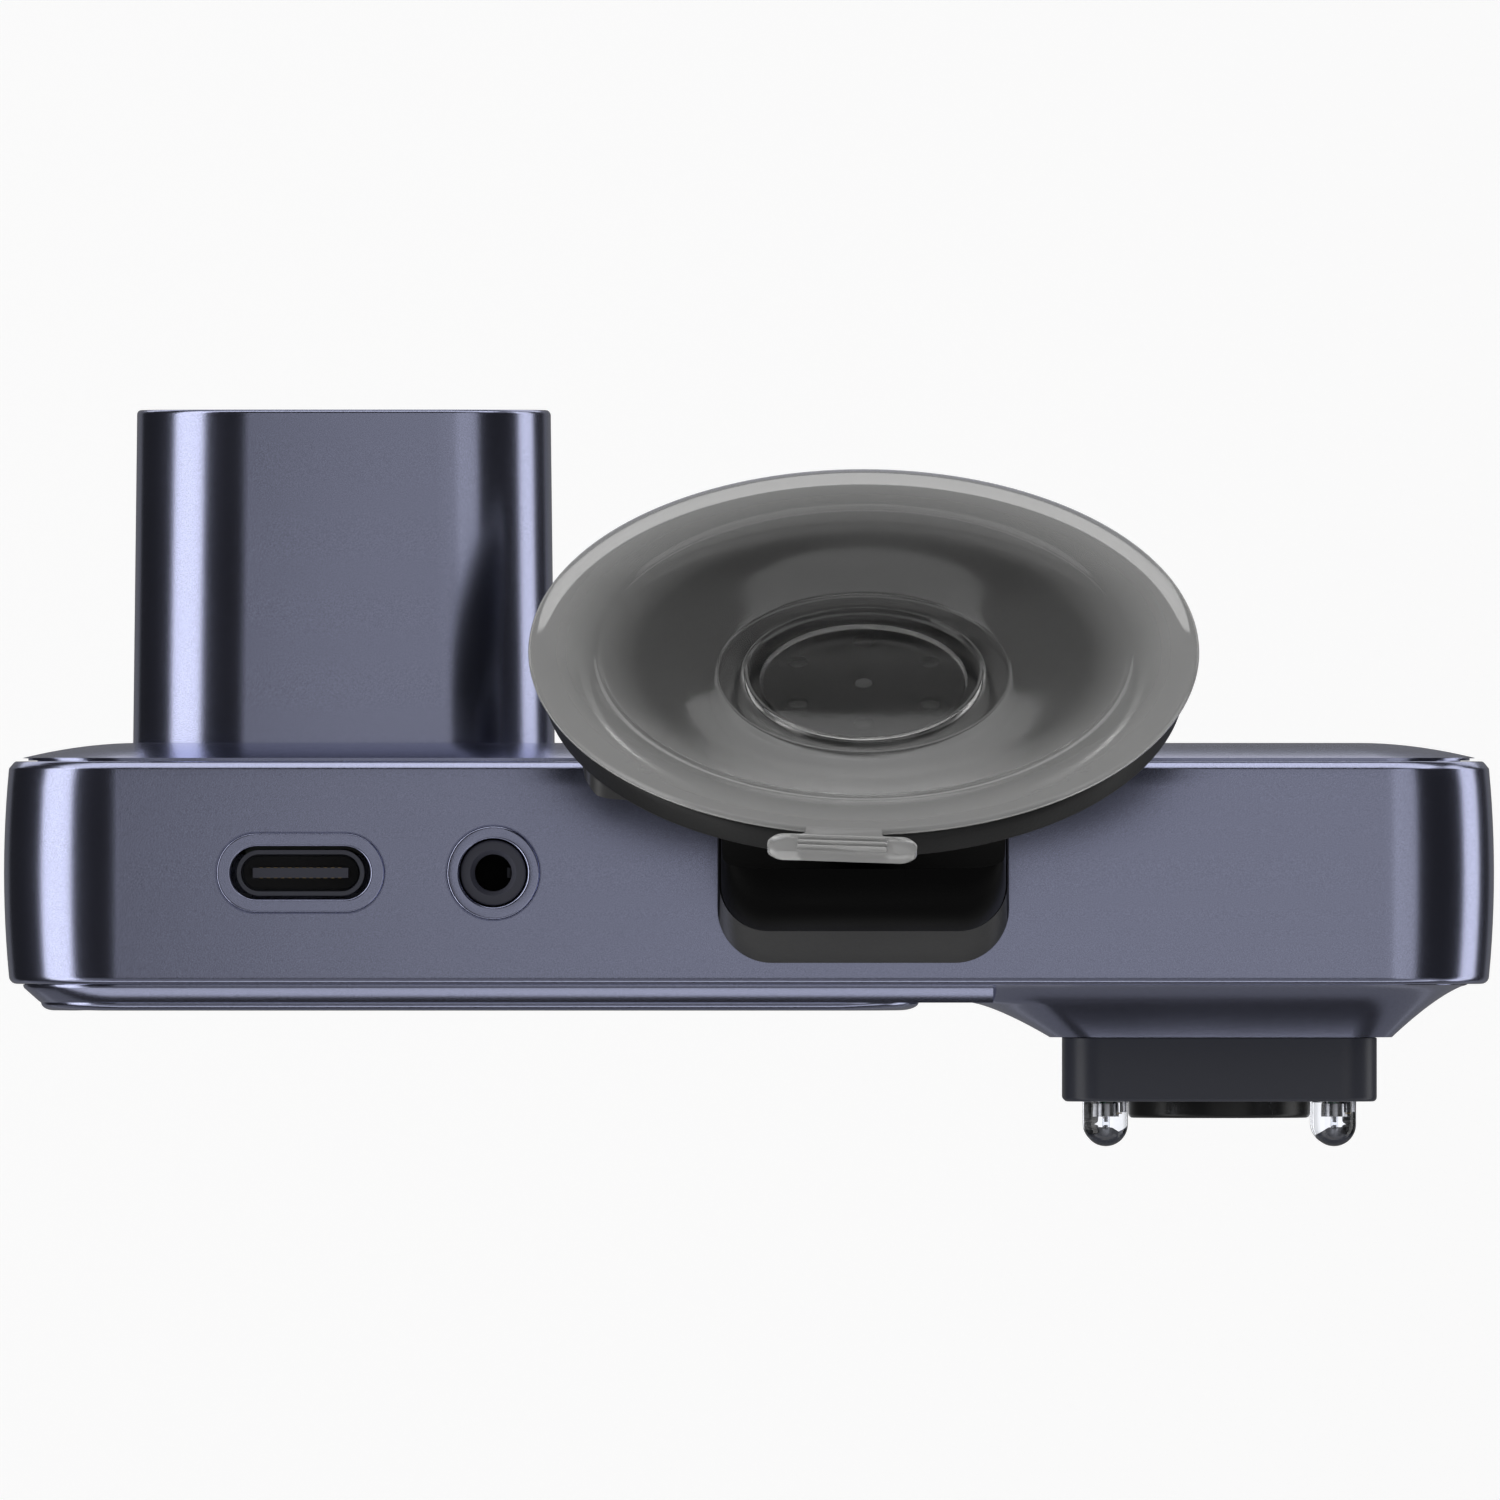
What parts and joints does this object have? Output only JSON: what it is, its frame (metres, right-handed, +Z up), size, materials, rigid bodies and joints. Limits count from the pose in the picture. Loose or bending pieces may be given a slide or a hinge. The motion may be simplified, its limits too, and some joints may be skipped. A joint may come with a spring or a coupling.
{
  "type": "dash camera",
  "caption": "Dash camera with a square front lens housing, a screen and a cabin camera with infrared lamps, hung from a suction cup by a twist lock and a ball joint.",
  "frame": {"origin": "centre of the suction cup's sealing plane, which is the plane that meets the windscreen", "axes": "+Y is the road ahead, along the front lens; +Z is up; +X is to the right of someone who faces the screen. The sealing plane's outward normal is 32.8 degrees above +Y."},
  "size_m": [0.1045, 0.0518, 0.0915],
  "materials": {
    "anodised": "satin",
    "shell": "satin",
    "black": "satin",
    "gloss": "gloss",
    "clear_rubber": "gloss",
    "clear_resin": "gloss",
    "glass": "gloss",
    "dark_metal": "satin",
    "steel": "satin",
    "board": "satin",
    "chip": "matte",
    "cell": "satin"
  },
  "bodies": {
    "mount": {"mount_dish": "black", "suction_cup": "clear_rubber", "ball_stud": "black"},
    "twist_lever": {"twist_ring": "black"},
    "insert": {"cup_insert": "black", "cross_pin": "steel"},
    "liner": {"ball_liner": "black"},
    "seat": {"seat_ring": "black"},
    "neck": {"neck_block": "black", "shoe_rail": "black", "rail_screw_1": "steel", "rail_screw_2": "steel"},
    "camera": {"mid_frame": "anodised", "av_bezel": "anodised", "av_jack_body": "black", "av_sleeve": "black", "battery_cell": "cell", "board_screw_1": "steel", "board_screw_2": "steel", "board_screw_3": "steel", "board_screw_4": "steel", "cabin_housing": "black", "cabin_lens_glass": "glass", "cabin_lens_ring": "gloss", "cabin_lens_tube": "black", "cabin_sensor_board": "board", "card_socket": "steel", "display_panel": "gloss", "front_cover": "shell", "heat_sink": "dark_metal", "image_sensor": "chip", "ir_led_1": "clear_resin", "ir_led_2": "clear_resin", "ir_led_3": "clear_resin", "ir_led_4": "clear_resin", "ir_led_board": "board", "key_board": "board", "lens_front_glass": "glass", "lens_front_plate": "gloss", "lens_holder": "black", "lens_housing": "shell", "lens_rear_element": "glass", "lens_ring": "dark_metal", "lens_tube": "dark_metal", "main_board": "board", "main_chip": "chip", "microphone": "steel", "rear_cover": "shell", "screen_glass": "gloss", "sensor_board": "board", "speaker": "black", "usb_bezel": "anodised", "usb_shell": "steel", "usb_tongue": "black"},
    "memory_card": {"memory_card": "chip"},
    "power_key": {"power_key": "black"},
    "menu_key": {"menu_key": "black"},
    "up_key": {"up_key": "black"},
    "down_key": {"down_key": "black"},
    "record_key": {"record_key": "black"}
  },
  "joints": [
    {"name": "twist_lock", "type": "hinge", "parent": "mount", "child": "twist_lever", "pos_m": [0, 0, 0], "axis": [0, 0.8406, 0.5417], "range_deg": [0, 60]},
    {"name": "insert_pull", "type": "slide", "parent": "mount", "child": "insert", "axis": [0, -0.8406, -0.5417], "range_m": [0, 0.00101]},
    {"name": "ball_yaw", "type": "hinge", "parent": "mount", "child": "liner", "pos_m": [0, -0.0139, -0.00896], "axis": [0, -0.5417, 0.8406], "range_deg": [-12, 12]},
    {"name": "ball_tilt", "type": "hinge", "parent": "liner", "child": "seat", "pos_m": [0, -0.0139, -0.00896], "axis": [1, 0, 0], "range_deg": [-15, 12]},
    {"name": "ball_spin", "type": "hinge", "parent": "seat", "child": "neck", "pos_m": [0, -0.0139, -0.00896], "axis": [0, 0.8406, 0.5417], "range_deg": [-20, 20]},
    {"name": "camera_release", "type": "slide", "parent": "neck", "child": "camera", "axis": [0, -1, 0], "range_m": [0, 0.018]},
    {"name": "card_slide", "type": "slide", "parent": "camera", "child": "memory_card", "axis": [-1, 0, 0], "range_m": [0, 0.012]},
    {"name": "power_press", "type": "slide", "parent": "camera", "child": "power_key", "axis": [0, 1, 0], "range_m": [0, 0.0004], "stiffness_N_per_m": 2000},
    {"name": "menu_press", "type": "slide", "parent": "camera", "child": "menu_key", "axis": [0, 1, 0], "range_m": [0, 0.0004], "stiffness_N_per_m": 2000},
    {"name": "up_press", "type": "slide", "parent": "camera", "child": "up_key", "axis": [0, 1, 0], "range_m": [0, 0.0004], "stiffness_N_per_m": 2000},
    {"name": "down_press", "type": "slide", "parent": "camera", "child": "down_key", "axis": [0, 1, 0], "range_m": [0, 0.0004], "stiffness_N_per_m": 2000},
    {"name": "record_press", "type": "slide", "parent": "camera", "child": "record_key", "axis": [0, 1, 0], "range_m": [0, 0.0004], "stiffness_N_per_m": 2000}
  ],
  "couplings": [
    {"joint": "insert_pull", "follows": "twist_lock", "m_per_rad": 0.00095493}
  ]
}
